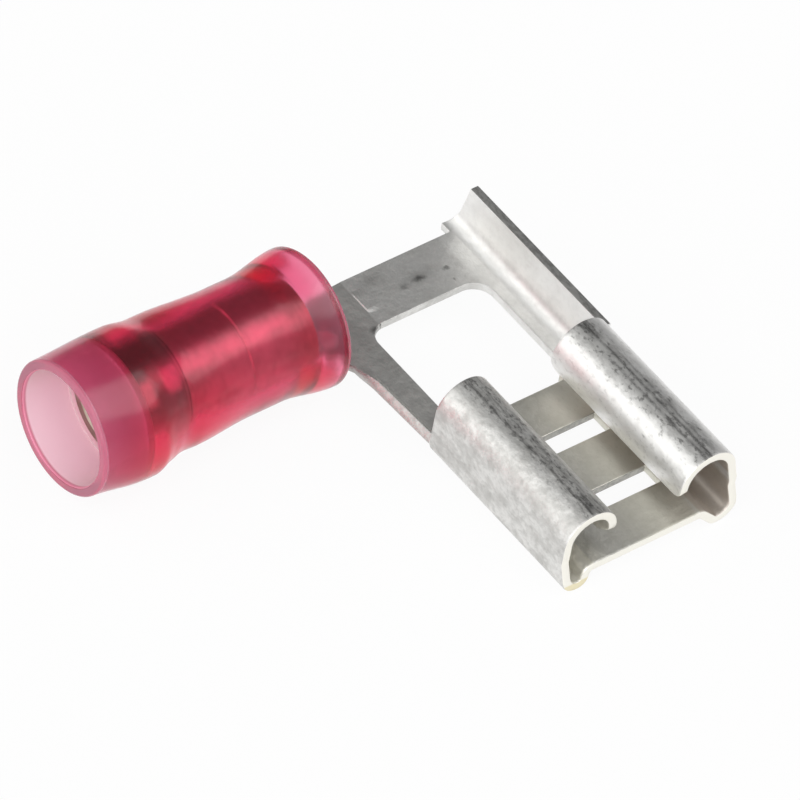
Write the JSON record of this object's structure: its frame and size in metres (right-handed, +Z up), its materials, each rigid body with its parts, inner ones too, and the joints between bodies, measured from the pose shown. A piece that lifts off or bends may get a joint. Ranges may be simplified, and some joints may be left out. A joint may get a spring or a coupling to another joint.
{
  "type": "insulated flag spade receptacle",
  "caption": "Crimp terminal with a red insulated wire barrel set at a right angle to a folded tin-plated receptacle whose rolled sides grip a flat tab.",
  "frame": {"origin": "centre of the insulation sleeve's wire mouth, on the barrel axis", "axes": "+X along the wire barrel from the mouth, +Y to the rear of the receptacle, +Z up, with the part lying as it comes to rest"},
  "size_m": [0.0198, 0.0171, 0.0054],
  "materials": {
    "tin_plate": "satin tin plating, lightly scuffed",
    "tinned_copper": "satin tin plating",
    "red_nylon": "translucent satin"
  },
  "bodies": {
    "root": {"terminal": "tin_plate", "support_sleeve": "tinned_copper", "insulation_sleeve": "red_nylon"}
  },
  "joints": []
}
